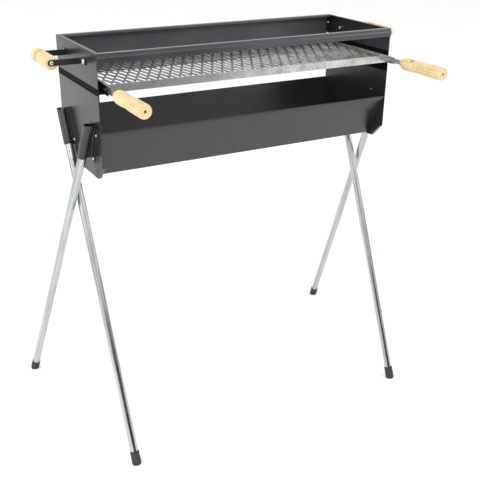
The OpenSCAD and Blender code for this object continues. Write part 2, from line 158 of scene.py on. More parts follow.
class Nodes:
    """Short ways to add and join the nodes of one tree."""

    def __init__(self, tree):
        self.tree = tree

    def add(self, kind, inputs=None, **settings):
        node = self.tree.nodes.new(kind)
        for key, value in settings.items():
            setattr(node, key, value)
        for key, value in (inputs or {}).items():
            self.join(value, node.inputs[key])
        return node

    def join(self, value, socket):
        if isinstance(value, bpy.types.NodeSocket):
            self.tree.links.new(value, socket)
        elif hasattr(value, "__len__") and len(value) == 3 and socket.type == "RGBA":
            socket.default_value = (*value, 1)
        else:
            socket.default_value = value

    def math(self, operation, a, b=0.0, c=0.0):
        node = self.add("ShaderNodeMath", operation=operation)
        for value, socket in zip((a, b, c), node.inputs):
            self.join(value, socket)
        return node.outputs[0]

    def vector(self, operation, a, b=(0, 0, 0)):
        node = self.add("ShaderNodeVectorMath", operation=operation)
        for value, socket in zip((a, b), node.inputs):
            self.join(value, socket)
        return node.outputs["Value" if operation in ("LENGTH", "DOT_PRODUCT") else "Vector"]

    def ramp(self, value, stops):
        node = self.add("ShaderNodeValToRGB", {"Fac": value})
        points = node.color_ramp.elements
        while len(points) < len(stops):
            points.new(1.0)
        for point, (position, colour) in zip(points, stops):
            point.position = position
            point.color = (*colour, 1)
        return node.outputs["Color"]

    def span(self, value, low, high, to_low=0.0, to_high=1.0):
        node = self.add("ShaderNodeMapRange", {"Value": value, "From Min": low, "From Max": high,
                                               "To Min": to_low, "To Max": to_high})
        return node.outputs[0]

    def mix(self, factor, a, b, blend="MIX"):
        node = self.add("ShaderNodeMix", data_type="RGBA", blend_type=blend)
        self.join(factor, node.inputs[0])
        self.join(a, node.inputs[6])
        self.join(b, node.inputs[7])
        return node.outputs[2]

    def noise(self, at, scale, detail=3.0, roughness=0.5):
        node = self.add("ShaderNodeTexNoise", {"Vector": at, "Scale": scale, "Detail": detail,
                                               "Roughness": roughness})
        return node.outputs["Fac"]

    def bump(self, height, distance, strength=1.0, normal=None):
        node = self.add("ShaderNodeBump", {"Height": height, "Distance": distance,
                                           "Strength": strength})
        if normal is not None:
            self.join(normal, node.inputs["Normal"])
        return node.outputs[0]


def material(name):
    """A new material with a Principled shader, and its Nodes."""
    made = bpy.data.materials.new(name)
    made.use_nodes = True
    tree = made.node_tree
    shader = tree.nodes["Principled BSDF"]
    return made, Nodes(tree), shader


def local_point(n, scale=(1, 1, 1)):
    """The piece's own coordinates, in metres, with Z along a turned piece."""
    point = n.add("ShaderNodeAttribute", attribute_name="local").outputs["Vector"]
    return n.vector("MULTIPLY", point, scale)


def edge_mask(n, radius, low, high):
    """1 on sharp edges, 0 on flat faces."""
    rounded = n.add("ShaderNodeBevel", {"Radius": radius}, samples=4).outputs[0]
    flat = n.add("ShaderNodeNewGeometry").outputs["Normal"]
    return n.span(n.vector("DOT_PRODUCT", rounded, flat), high, low)


def floor_material():
    made, n, shader = material("floor")
    point = n.add("ShaderNodeTexCoord").outputs["Object"]
    tone = n.ramp(n.noise(point, 3.0), [(0.3, (0.91, 0.91, 0.91)), (0.7, (0.93, 0.93, 0.93))])
    n.join(tone, shader.inputs["Base Color"])
    shader.inputs["Roughness"].default_value = 0.6
    return made


def black_paint_material(name, base, rough_from, rough_to, tint=(0.93, 0.93, 1.0), ior=1.56):
    """Sprayed black: faint clouds, fine dust specks and rubbed edges."""
    made, n, shader = material(name)
    point = n.add("ShaderNodeTexCoord").outputs["Object"]
    cloud = n.noise(point, 9.0, 4.0)
    grain = n.noise(point, 1500.0, 2.0)
    dust = n.noise(point, 240.0, 5.0, 0.65)
    colour = n.ramp(cloud, [(0.3, (base, base, base * 1.1)),
                            (0.7, (base * 1.4, base * 1.4, base * 1.5))])
    colour = n.mix(n.span(dust, 0.62, 0.72, 0.0, 0.3), colour, (base * 3.5,) * 3)
    wear = edge_mask(n, 0.0007, 0.80, 0.97)
    patchy = n.math("MULTIPLY", wear, n.span(n.noise(point, 60.0, 4.0), 0.45, 0.62))
    colour = n.mix(n.math("MULTIPLY", patchy, 0.45), colour, (0.13, 0.13, 0.135))
    n.join(colour, shader.inputs["Base Color"])
    rough = n.math("ADD", n.span(cloud, 0.3, 0.7, rough_from, rough_to),
                   n.span(grain, 0.2, 0.8, -0.03, 0.05))
    n.join(rough, shader.inputs["Roughness"])
    shader.inputs["IOR"].default_value = ior
    shader.inputs["Specular Tint"].default_value = (*tint, 1)
    waves = n.bump(n.noise(point, 14.0, 1.0), 0.0006, 0.35)
    n.join(n.bump(grain, 0.00006, 0.55, waves), shader.inputs["Normal"])
    return made


def zinc_tube_material():
    made, n, shader = material("zinc_tube")
    # streaks along the tube: drawing marks and also painted reflection streaks, from dark to bright in the colour
    streaks = n.noise(local_point(n, (900, 900, 5)), 1.0, 4.0, 0.6)
    lines = n.noise(local_point(n, (2600, 2600, 9)), 1.0, 2.0, 0.5)
    cloud = n.noise(local_point(n), 26.0, 4.0, 0.55)
    colour = n.ramp(streaks, [(0.34, (0.17, 0.18, 0.19)), (0.5, (0.43, 0.445, 0.46)),
                              (0.66, (0.76, 0.77, 0.78))])
    colour = n.mix(n.span(cloud, 0.5, 0.8, 0.0, 0.4), colour, (0.58, 0.60, 0.63))
    n.join(colour, shader.inputs["Base Color"])
    shader.inputs["Metallic"].default_value = 1.0
    rough = n.math("ADD", n.span(streaks, 0.2, 0.8, 0.12, 0.24), n.span(cloud, 0.4, 0.8, 0.0, 0.08))
    n.join(rough, shader.inputs["Roughness"])
    drawn = n.bump(lines, 0.00003, 0.6)
    n.join(n.bump(cloud, 0.0003, 0.25, drawn), shader.inputs["Normal"])
    return made


def galvanised_material(name, low, high, rough_low, rough_high):
    """Zinc coated sheet, with faint spangle and darker blotches."""
    made, n, shader = material(name)
    point = n.add("ShaderNodeTexCoord").outputs["Object"]
    spangle = n.add("ShaderNodeTexVoronoi", {"Vector": point, "Scale": 260.0}).outputs["Color"]
    spark = n.add("ShaderNodeSeparateColor", {"Color": spangle}).outputs[0]
    blotch = n.noise(point, 24.0, 4.0, 0.55)
    tone = n.math("ADD", n.math("MULTIPLY", spark, 0.16), n.math("MULTIPLY", blotch, 0.84))
    n.join(n.ramp(tone, [(0.25, low), (0.7, high)]), shader.inputs["Base Color"])
    shader.inputs["Metallic"].default_value = 1.0
    n.join(n.span(tone, 0.2, 0.8, rough_high, rough_low), shader.inputs["Roughness"])
    fine = n.bump(n.noise(point, 1800.0, 2.0), 0.00004, 0.5)
    n.join(n.bump(blotch, 0.0002, 0.12, fine), shader.inputs["Normal"])
    return made


def fastener_material():
    made, n, shader = material("zinc_fasteners")
    point = n.add("ShaderNodeTexCoord").outputs["Object"]
    cloud = n.noise(point, 420.0, 3.0)
    n.join(n.ramp(cloud, [(0.3, (0.55, 0.56, 0.57)), (0.7, (0.80, 0.80, 0.79))]),
           shader.inputs["Base Color"])
    shader.inputs["Metallic"].default_value = 1.0
    n.join(n.span(cloud, 0.3, 0.7, 0.2, 0.36), shader.inputs["Roughness"])
    n.join(n.bump(cloud, 0.00005, 0.5), shader.inputs["Normal"])
    return made


def rubber_material():
    made, n, shader = material("black_rubber")
    point = n.add("ShaderNodeTexCoord").outputs["Object"]
    grain = n.noise(point, 1900.0, 3.0)
    dust = n.noise(point, 130.0, 5.0, 0.6)
    n.join(n.mix(n.span(dust, 0.5, 0.75, 0.0, 0.5), (0.018, 0.018, 0.018), (0.06, 0.06, 0.058)),
           shader.inputs["Base Color"])
    n.join(n.span(dust, 0.3, 0.7, 0.52, 0.7), shader.inputs["Roughness"])
    n.join(n.bump(grain, 0.00008, 0.6), shader.inputs["Normal"])
    return made


def pine_material(name, heart, knot=None, dark_groove_rings=()):
    """Turned pine: rings round a heart line at (x, y) in the piece's own frame, fibres along Z."""
    made, n, shader = material(name)
    point = local_point(n)
    warp = n.add("ShaderNodeTexNoise", {"Vector": local_point(n, (22, 22, 7)), "Scale": 1.0,
                                        "Detail": 3.0}).outputs["Color"]
    shift = n.vector("MULTIPLY", n.vector("SUBTRACT", warp, (0.5, 0.5, 0.5)), (0.011, 0.011, 0))
    bent = n.vector("ADD", n.vector("SUBTRACT", point, (*heart, 0)), shift)
    if knot is not None:
        away = n.vector("LENGTH", n.vector("MULTIPLY", n.vector("SUBTRACT", point, knot),
                                           (1, 1, 0.75)))
        pull = n.span(away, 0.0, 0.016, 0.010, 0.0)
    across = n.vector("LENGTH", n.vector("MULTIPLY", bent, (1, 1, 0.05)))
    if knot is not None:
        across = n.math("ADD", across, pull)
    rings = n.math("FRACT", n.math("MULTIPLY", across, 230.0))
    late = n.ramp(rings, [(0.0, (0.0,) * 3), (0.62, (0.25,) * 3), (0.9, (1.0,) * 3),
                          (1.0, (0.0,) * 3)])
    fibres = n.noise(local_point(n, (620, 620, 14)), 1.0, 4.0, 0.6)
    cloud = n.noise(point, 45.0, 3.0)
    colour = n.mix(n.math("MULTIPLY", late, 0.6), (0.72, 0.55, 0.30), (0.42, 0.23, 0.075))
    colour = n.mix(n.span(fibres, 0.46, 0.68, 0.0, 0.6), colour, (0.44, 0.25, 0.09))
    colour = n.mix(n.span(cloud, 0.4, 0.7, 0.0, 0.45), colour, (0.80, 0.67, 0.43))
    if knot is not None:
        core = n.span(away, 0.0018, 0.0034, 1.0, 0.0)
        rim = n.span(away, 0.0034, 0.0075, 0.55, 0.0)
        colour = n.mix(rim, colour, (0.62, 0.36, 0.14))
        colour = n.mix(core, colour, (0.30, 0.13, 0.045))
    along = n.add("ShaderNodeSeparateXYZ", {"Vector": point}).outputs["Z"]
    # dark brown rings centred on the grip's grooves
    for place in dark_groove_rings:
        near = n.math("ABSOLUTE", n.math("SUBTRACT", along, place))
        colour = n.mix(n.span(near, 0.0007, 0.0026, 0.9, 0.0), colour, (0.12, 0.045, 0.012))
    n.join(colour, shader.inputs["Base Color"])
    n.join(n.span(fibres, 0.3, 0.7, 0.42, 0.56), shader.inputs["Roughness"])
    shader.inputs["Coat Weight"].default_value = 0.12
    shader.inputs["Coat Roughness"].default_value = 0.3
    ridges = n.bump(late, 0.00012, 0.5)
    n.join(n.bump(fibres, 0.00008, 0.6, ridges), shader.inputs["Normal"])
    return made


# ---------------------------------------------------------------- making pieces

SHARP = math.radians(38)


def keep_local(data):
    """Stores the piece's own coordinates as an attribute, which its material reads."""
    local = data.attributes.new("local", "FLOAT_VECTOR", "POINT")
    local.data.foreach_set("vector", [c for v in data.vertices for c in v.co])


def show(name, data, body, finish, node):
    """Links a mesh as a piece on a body, with its material, in place of a CAD node."""
    piece = bpy.data.objects.new(name, data)
    bpy.context.scene.collection.objects.link(piece)
    data.materials.clear()
    data.materials.append(finish)
    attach(piece, body)
    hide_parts(node)


def finish_piece(name, data, body, finish, node, at=None):
    """Shows a mesh smooth, but sharp where it turns by more than SHARP. at, if given, moves the
    mesh from the piece's own frame, which its material keeps."""
    keep_local(data)
    if at is not None:
        data.transform(at)
    data.polygons.foreach_set("use_smooth", [True] * len(data.polygons))
    data.set_sharp_from_angle(angle=SHARP)
    data.update()
    show(name, data, body, finish, node)


def mesh_of(name, verts, faces):
    data = bpy.data.meshes.new(name)
    data.from_pydata([tuple(v) for v in verts], [], faces)
    bm = bmesh.new()
    bm.from_mesh(data)
    bmesh.ops.recalc_face_normals(bm, faces=bm.faces)
    bm.to_mesh(data)
    bm.free()
    return data


def repeated(name, data, places):
    """One mesh from copies of a mesh, one at each matrix."""
    bm = bmesh.new()
    for at in places:
        copy = data.copy()
        copy.transform(at)
        bm.from_mesh(copy)
        bpy.data.meshes.remove(copy)
    made = bpy.data.meshes.new(name)
    bm.to_mesh(made)
    bm.free()
    return made


def applied(name, data, *modifiers):
    """The mesh with these modifiers applied, each given as (type, {setting: value})."""
    holder = bpy.data.objects.new(name + ".work", data)
    bpy.context.scene.collection.objects.link(holder)
    for kind, settings in modifiers:
        modifier = holder.modifiers.new(kind.lower(), kind)
        for key, value in settings.items():
            setattr(modifier, key, value)
    depsgraph = bpy.context.evaluated_depsgraph_get()
    made = bpy.data.meshes.new_from_object(holder.evaluated_get(depsgraph))
    made.name = name
    bpy.data.objects.remove(holder)
    return made


def rounded_top(bm, radius):
    """Rounds the long outer edge along the top of an end panel."""
    top = max(v.co.z for v in bm.verts)
    out = max(abs(v.co.x) for v in bm.verts)
    near, long = 0.01 * MM, 100 * MM
    long_edges = [e for e in bm.edges if e.calc_length() > long
                  and all(abs(v.co.z - top) < near and abs(abs(v.co.x) - out) < near
                          for v in e.verts)]
    bmesh.ops.bevel(bm, geom=long_edges, offset=radius, segments=6, profile=0.5, affect="EDGES",
                    clamp_overlap=False)


def softened(node, body, finish, width=0.45 * MM, round_top=False):
    """A copy of a CAD node whose cut edges and bends are rounded, shown in its place."""
    bm = bmesh.new()
    bm.from_mesh(frame["nodes"][node].data)
    bmesh.ops.remove_doubles(bm, verts=bm.verts, dist=0.002 * MM)
    bmesh.ops.dissolve_limit(bm, angle_limit=math.radians(0.5), verts=bm.verts, edges=bm.edges)
    if round_top:
        rounded_top(bm, 2.4 * MM)
    data = bpy.data.meshes.new(node + ".copy")
    bm.to_mesh(data)
    bm.free()
    data.polygons.foreach_set("use_smooth", [True] * len(data.polygons))
    data = applied(node + ".soft", data,
                   ("BEVEL", {"width": width, "segments": 2, "limit_method": "ANGLE",
                              "angle_limit": math.radians(30), "use_clamp_overlap": round_top}),
                   ("TRIANGULATE", {}),
                   ("WEIGHTED_NORMAL", {"weight": 100, "mode": "FACE_AREA"}))
    keep_local(data)
    show(node + ".sheet", data, body, finish, node)


def arc(centre, radius, start, end, steps):
    """Points (a, b) round a circle from start to end, in degrees, both ends included."""
    return [(centre[0] + radius * math.cos(math.radians(start + (end - start) * i / steps)),
             centre[1] + radius * math.sin(math.radians(start + (end - start) * i / steps)))
            for i in range(steps + 1)]


def lathe(name, profile, segments=64):
    """A mesh turned round Z from (radius, z) points. Points at radius 0 close the ends."""
    verts, rings = [], []
    for r, z in profile:
        if r < 1e-7:
            rings.append([len(verts)])
            verts.append((0, 0, z))
            continue
        rings.append(list(range(len(verts), len(verts) + segments)))
        verts += [(r * math.cos(math.tau * i / segments), r * math.sin(math.tau * i / segments), z)
                  for i in range(segments)]
    faces = []
    closed = len(rings[0]) > 1 and len(rings[-1]) > 1
    pairs = list(zip(rings, rings[1:])) + ([(rings[-1], rings[0])] if closed else [])
    for low, high in pairs:
        for i in range(segments):
            j = (i + 1) % segments
            corners = [low[i % len(low)], low[j % len(low)], high[j % len(high)], high[i % len(high)]]
            corners = list(dict.fromkeys(corners))
            if len(corners) > 2:
                faces.append(corners)
    return mesh_of(name, verts, faces)


def folded_outline(points, thickness, radius, steps=5):
    """Closed outline of a sheet folded along points, with round bends and rounded cut edges."""
    half = thickness / 2
    middle = [Vector(points[0])]
    for a, b, c in zip(points, points[1:], points[2:]):
        a, b, c = Vector(a), Vector(b), Vector(c)
        u, v = (a - b).normalized(), (c - b).normalized()
        bend = u.angle(v) / 2
        centre = b + (u + v).normalized() * radius / math.sin(bend)
        start = b + u * radius / math.tan(bend)
        end = b + v * radius / math.tan(bend)
        turn = (start - centre).angle_signed(end - centre)
        for i in range(steps + 1):
            spoke = start - centre
            spoke.rotate(Matrix.Rotation(-turn * i / steps, 2))
            middle.append(centre + spoke)
    middle.append(Vector(points[-1]))
    normals = []
    for i in range(len(middle)):
        along = (middle[min(i + 1, len(middle) - 1)] - middle[max(i - 1, 0)]).normalized()
        normals.append(Vector((-along.y, along.x)))
    upper = [m + k * half for m, k in zip(middle, normals)]
    lower = [m - k * half for m, k in zip(middle, normals)]
    cap = 0.35 * half
    for end, inner in ((0, 1), (-1, -2)):
        back = (middle[inner] - middle[end]).normalized() * cap
        k = normals[end]
        upper[end] = middle[end] + back + k * half
        lower[end] = middle[end] + back - k * half
    first = [middle[0] - normals[0] * (half - cap), middle[0] + normals[0] * (half - cap)]
    last = [middle[-1] + normals[-1] * (half - cap), middle[-1] - normals[-1] * (half - cap)]
    return first + upper + last + lower[::-1]


def extruded(name, outline, low, high):
    """A (y, z) outline carried along X from low to high, with eased ends."""
    ease = 0.25 * MM
    count = len(outline)
    stations = [(low, -1), (low + ease, 0), (high - ease, 0), (high, 1)]
    inner = inset(outline, ease)
    verts = [(along, *(inner[i] if end else outline[i]))
             for along, end in stations for i in range(count)]
    faces = [[s * count + i, s * count + (i + 1) % count, (s + 1) * count + (i + 1) % count,
              (s + 1) * count + i] for s in range(len(stations) - 1) for i in range(count)]
    faces += [list(range(count)), list(range(3 * count, 4 * count))]
    return mesh_of(name, verts, faces)


def inset(outline, amount):
    """The outline moved in by amount along each corner's bisector."""
    area = sum(a[0] * b[1] - b[0] * a[1] for a, b in zip(outline, outline[1:] + outline[:1]))
    sign = 1 if area > 0 else -1
    moved = []
    for i, point in enumerate(outline):
        before, after = Vector(outline[i - 1]), Vector(outline[(i + 1) % len(outline)])
        along = (after - before).normalized()
        moved.append(Vector(point) + Vector((-along.y, along.x)) * sign * amount)
    return moved


# ---------------------------------------------------------------- sheet steel

def sheet_piece(node, finish, outline, low, high):
    """A folded sheet of the box, carried along X from low to high."""
    name = node + ".sheet"
    data = extruded(name, outline, low, high)
    finish_piece(name, data, "roaster_box", finish, node)


def add_box_sheets(paint):
    """Panels, rails and trough of the fixed box. The rails' near-black paint is a painted shadow for their recess;
    the cross bar's and back panel's brighter paints are painted light; the trough's warm-tinted reflections are
    painted warm light.
    """
    # near-black paint with weak reflections (IOR 1.12) for the guide rails: a painted shadow for the shaded recess
    # between the boxes
    recess_shadow_paint = black_paint_material("black_paint_painted_recess_shadow", 0.003, 0.5, 0.62, ior=1.12)
    for node in ("lower_end_panel_left", "lower_end_panel_right", "side_arm_left_front",
                 "side_arm_left_rear", "side_arm_right_front", "side_arm_right_rear"):
        softened(node, "roaster_box", paint)
    for side in SIDES:
        softened(f"upper_end_panel_{side}", "roaster_box", paint, round_top=True)
        softened(f"guide_rail_{side}", "roaster_box", recess_shadow_paint)
    # the cross bar gets a brighter, glossier copy of the same paint: painted light
    add_cross_bar(black_paint_material("black_paint_bar_painted_light", 0.036, 0.12, 0.2))
    # the upper back panel gets a brighter copy of the same paint: a painted highlight over the whole panel
    add_back_panel(black_paint_material("black_paint_painted_highlight", 0.05, 0.3, 0.38))
    # the trough gets the same paint with warm-tinted reflections: painted warm light
    add_trough(black_paint_material("black_paint_trough", 0.011, 0.24, 0.32, (1.0, 0.95, 0.93)))


SHEET = 1.2 * MM
BEND = 1.3 * MM
FOLD = 11 * MM
FOLD_RETURN = 5 * MM
PANEL_HEM = 7 * MM
TROUGH_HEM = 9 * MM
TROUGH_FLOOR_HALF = 72 * MM
TROUGH_BEND = 0.7 * MM


def add_cross_bar(paint):
    """Upright sheet with a bead pressed in along its front, folded back and down along its top."""
    low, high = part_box("front_cross_bar")
    y, z = low.y + SHEET / 2, high.z - SHEET / 2
    tip = low.y + FOLD - SHEET / 2
    bead_low, bead_z, bead_top = high.z - 8.2 * MM, high.z - 6.2 * MM, high.z - 4.2 * MM
    bead_y = y + 1.5 * MM
    points = [(y, low.z), (y, bead_low), (bead_y, bead_z), (y, bead_top), (y, z), (tip, z),
              (tip, high.z - FOLD_RETURN)]
    sheet_piece("front_cross_bar", paint, folded_outline(points, SHEET, BEND), low.x, high.x)


def add_back_panel(paint):
    """Upright sheet, folded forwards and down along its top and hemmed along its foot."""
    low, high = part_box("upper_back_panel")
    half = SHEET / 2
    y, foot, top = high.y - half, low.z + half, high.z - half
    tip = high.y - (FOLD - half)
    points = [(high.y - PANEL_HEM, foot), (y, foot), (y, top), (tip, top),
              (tip, high.z - FOLD_RETURN)]
    sheet_piece("upper_back_panel", paint, folded_outline(points, SHEET, BEND), low.x, high.x)


def add_trough(paint):
    """Two sloping sides whose edges are rolled over outwards, and a flat bottom."""
    low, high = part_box("firebox_trough")
    edge = (high.y - low.y) / 2
    middle_y, half = (high.y + low.y) / 2, SHEET / 2
    side = Vector((edge - TROUGH_FLOOR_HALF, high.z - low.z)).normalized()
    out = Vector((side.y, -side.x))
    roll = 0.95 * MM
    points = []
    for s in (-1, 1):
        top = Vector((edge - half - roll, high.z - half))
        foot = Vector((TROUGH_FLOOR_HALF - 0.4 * MM, low.z + half))
        lip = [top + out * 2 * roll - side * TROUGH_HEM, top + out * 2 * roll, top]
        stretch = [(middle_y + s * p.x, p.y) for p in lip + [foot]]
        points += stretch if s < 0 else stretch[::-1]
    outline = folded_outline(points, SHEET, TROUGH_BEND, steps=6)
    sheet_piece("firebox_trough", paint, outline, low.x, high.x)


# ---------------------------------------------------------------- legs, caps and sockets

def joint_axis(name):
    joint = next(j for j in frame["joints"] if j["name"] == name)
    return -Vector(joint["axis"]).normalized()


def leg_frame(which, side):
    """Frame of a leg: origin where its axis meets the floor, Z up the leg, X away from the box."""
    up = joint_axis(f"leg_{which}_{side}_pull")
    mount = next(m for m in frame["record"]["mounts"] if m["name"] == f"foot_{which}_{side}_sole")
    x_axis = Vector((SIDES[side], 0, 0))
    x_axis = (x_axis - up * x_axis.dot(up)).normalized()
    turn = Matrix((x_axis, up.cross(x_axis), up)).transposed()
    return Matrix.Translation(mount["pos_m"]) @ turn.to_4x4()


TUBE_R = 8 * MM
TUBE_WALL = 1 * MM
CAP_WALL = 1.4 * MM
CAP_FLOOR = 7 * MM
CAP_LEN = 27 * MM
SOCKET_LENGTH = {"inner": 72 * MM, "outer": 76 * MM}
PLUG_DEPTH = 52 * MM


def tube_top(which, side):
    """Length along a leg's axis from the floor to the top of its tube."""
    at = leg_frame(which, side).inverted()
    node = frame["nodes"][f"leg_tube_{which}_{side}"]
    return max((at @ v.co).z for v in node.data.vertices)


def add_legs(zinc, rubber):
    for which in LEG_PAIRS:
        for side in SIDES:
            body = f"leg_{which}_{side}"
            at = leg_frame(which, side)
            node = f"leg_tube_{which}_{side}"
            tube = tube_mesh(node + ".tube", tube_top(which, side))
            finish_piece(node + ".tube", tube, body, zinc, node, at)
            node = f"foot_cap_{which}_{side}"
            cap = foot_cap_mesh(node + ".cap", at)
            finish_piece(node + ".cap", cap, body, rubber, node, at)


def tube_mesh(name, top):
    """Leg tube from the floor of its cap up to top, with eased rims and rings along its length."""
    ease, rings = 0.3 * MM, 24
    bore = TUBE_R - TUBE_WALL
    profile = [(bore, CAP_FLOOR + ease), (bore + ease, CAP_FLOOR), (TUBE_R - ease, CAP_FLOOR),
               (TUBE_R, CAP_FLOOR + ease)]
    profile += [(TUBE_R, CAP_FLOOR + (top - CAP_FLOOR) * i / rings) for i in range(1, rings)]
    profile += [(TUBE_R, top - ease), (TUBE_R - ease, top), (bore + ease, top), (bore, top - ease)]
    return lathe(name, profile)


def foot_cap_mesh(name, at):
    """Moulded cap with a rounded nose, two grip rings and a flat worn where it meets the floor."""
    outer, bore = TUBE_R + CAP_WALL, TUBE_R + 0.02 * MM
    nose = 5.5 * MM
    lowest = -3.2 * MM
    profile = [(0, lowest)]
    profile += arc((outer - nose, lowest + nose), nose, -90, 0, 10)
    for ring in (0.55, 0.68):
        z = CAP_FLOOR + (CAP_LEN - CAP_FLOOR) * ring
        profile += [(outer, z - 1.1 * MM), (outer - 0.45 * MM, z - 0.4 * MM),
                    (outer - 0.45 * MM, z + 0.4 * MM), (outer, z + 1.1 * MM)]
    profile += arc((outer - 0.6 * MM, CAP_LEN - 0.6 * MM), 0.6 * MM, 0, 90, 4)
    profile += [(bore, CAP_LEN), (bore, CAP_FLOOR), (0, CAP_FLOOR)]
    data = lathe(name, profile, 56)
    bm = bmesh.new()
    bm.from_mesh(data)
    bm.transform(at)
    cut = bmesh.ops.bisect_plane(bm, geom=bm.verts[:] + bm.edges[:] + bm.faces[:],
                                 plane_co=(0, 0, 0), plane_no=(0, 0, 1), clear_inner=True)
    rim = [e for e in cut["geom_cut"] if isinstance(e, bmesh.types.BMEdge)]
    if rim:
        bmesh.ops.holes_fill(bm, edges=rim, sides=0)
    bm.transform(at.inverted())
    bmesh.ops.recalc_face_normals(bm, faces=bm.faces)
    bm.to_mesh(data)
    bm.free()
    return data


def omega_section(radius, reach, edge):
    """Section (out, across) of a socket, edge to edge: flange, neck, round, neck and flange."""
    neck, roll = radius * 0.55, 1.6 * MM
    turn = 180 - math.degrees(math.asin(neck / radius))
    neck_out = max(reach + radius * math.cos(math.radians(turn)), roll + 0.4 * MM)
    half = [(0.0, edge), (0.0, neck + roll)]
    half += arc((roll, neck + roll), roll, 180, 270, 4)[1:]
    half += [(neck_out, neck)]
    half += arc((max(reach, roll + 0.4 * MM), 0), radius, turn, 0, 18)[1:]
    return half + [(a, -b) for a, b in half[-2::-1]]


def add_sockets(paint):
    for which in LEG_PAIRS:
        for side in SIDES:
            node = f"leg_socket_{which}_{side}"
            data = socket_mesh(node, which, side)
            finish_piece(node + ".pressed", data, "roaster_box", paint, node)


SOCKET_SHEET = 1.3 * MM
FLANGE = 11 * MM
FLANGE_TAB = 1 * MM
SLEEVE_R = TUBE_R + 0.06 * MM + SOCKET_SHEET / 2
MOUTH_R = {"inner": SLEEVE_R, "outer": 10.3 * MM}
MOUTH_OVER = 10 * MM
FLANGE_SHORT = 4 * MM
TUBE_GAP = 0.5 * MM


def socket_mesh(node, which, side):
    """A pressed omega section carried up the leg's axis, flared on the outer legs, cut level."""
    sign = SIDES[side]
    panel_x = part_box(f"lower_end_panel_{side}")[0 if sign < 0 else 1].x
    at = leg_frame(which, side)
    axis = at.col[2].to_3d()
    foot = at.col[3].to_3d()
    length = SOCKET_LENGTH[which]
    flare = length - PLUG_DEPTH
    span = tube_top(which, side) + TUBE_GAP + flare
    across = Vector((0, axis.z, -axis.y)).normalized()
    top_z = (foot + axis * span).z
    flange_top = length - FLANGE_SHORT
    stations = sorted([-FLANGE_TAB, -0.01 * MM, flange_top, length + MOUTH_OVER]
                      + [length * i / 16 for i in range(17)])
    verts, faces = [], []
    for up in stations:
        centre = foot + axis * (span - length + max(up, 0.0))
        if up < 0:
            centre += axis * up
        reach = abs(centre.x - panel_x)
        t = min(1.0, max(0.0, (up - PLUG_DEPTH) / flare))
        radius = SLEEVE_R + (MOUTH_R[which] - SLEEVE_R) * t * t * (3 - 2 * t) ** 0.5
        section = omega_section(radius, reach, SLEEVE_R + FLANGE)
        columns = len(section)
        for out, side_way in section:
            x = panel_x + sign * (out + SOCKET_SHEET / 2)
            verts.append((x, centre.y + across.y * side_way, centre.z + across.z * side_way))
    for row in range(len(stations) - 1):
        for i in range(columns - 1):
            flange = i == 0 or i == columns - 2
            if (row < 2 and 1 < i < columns - 3) or (flange and stations[row] >= flange_top):
                continue
            a = row * columns + i
            faces.append([a, a + 1, a + columns + 1, a + columns])
    data = mesh_of(node + ".raw", verts, faces)
    bm = bmesh.new()
    bm.from_mesh(data)
    loose = [v for v in bm.verts if not v.link_faces]
    bmesh.ops.delete(bm, geom=loose, context="VERTS")
    bmesh.ops.bisect_plane(bm, geom=bm.verts[:] + bm.edges[:] + bm.faces[:],
                           plane_co=(0, 0, top_z - SOCKET_SHEET / 2), plane_no=(0, 0, 1),
                           clear_outer=True)
    bm.to_mesh(data)
    bm.free()
    return applied(node + ".pressed", data,
                   ("SOLIDIFY", {"thickness": SOCKET_SHEET, "offset": 0.0,
                                 "use_even_offset": True}),
                   ("BEVEL", {"width": 0.3 * MM, "segments": 2, "limit_method": "ANGLE",
                              "angle_limit": math.radians(50), "use_clamp_overlap": True}))


# ---------------------------------------------------------------- grate

BOND = 2.2 * MM
STRAND_W = 4.6 * MM
STRAND_T = 1.3 * MM
STRAND_TILT = math.radians(19)
PITCH_X = 22.5 * MM
PITCH_Y = 42 * MM


def strand_section():
    """Rounded rectangle (across, up) of one strand, tilted as the slit sheet is."""
    w, t, c = STRAND_W / 2, STRAND_T / 2, 0.28 * MM
    corners = [(w, t - c), (w - c, t), (c - w, t), (-w, t - c), (-w, c - t), (c - w, -t),
               (w - c, -t), (w, c - t)]
    s, k = math.sin(STRAND_TILT), math.cos(STRAND_TILT)
    return [(a * k - b * s, a * s + b * k) for a, b in corners]


def add_mesh(finish):
    """Expanded metal: each strand zigzags from front to back between two rows of bonds."""
    low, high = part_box("grate_mesh")
    middle = (low + high) / 2
    half_x, half_y = (high.x - low.x) / 2, (high.y - low.y) / 2
    column = PITCH_X / 2
    section = strand_section()
    swing = column / 2 - STRAND_W / 2 * math.cos(STRAND_TILT)
    rise = STRAND_W / 2 * math.sin(STRAND_TILT)
    base = (low.z + high.z) / 2
    verts, faces = [], []
    first = -int(half_x / column)
    for k in range(first, -first):
        if abs(k + 0.5) * column + column / 2 > half_x:
            continue
        path = strand_path(k, half_y)
        start = len(verts)
        for y, swing_to in path:
            x = (k + 0.5) * column + swing * swing_to
            for a, b in section:
                verts.append((middle.x + x + a, middle.y + y, base - rise * swing_to + b))
        size = len(section)
        for row in range(len(path) - 1):
            for i in range(size):
                a, b = start + row * size + i, start + row * size + (i + 1) % size
                faces.append([a, b, b + size, a + size])
        faces.append([start + i for i in range(size)])
        faces.append([start + (len(path) - 1) * size + i for i in range(size)])
    data = mesh_of("grate_mesh.expanded", verts, faces)
    finish_piece(data.name, data, "grate", finish, "grate_mesh")


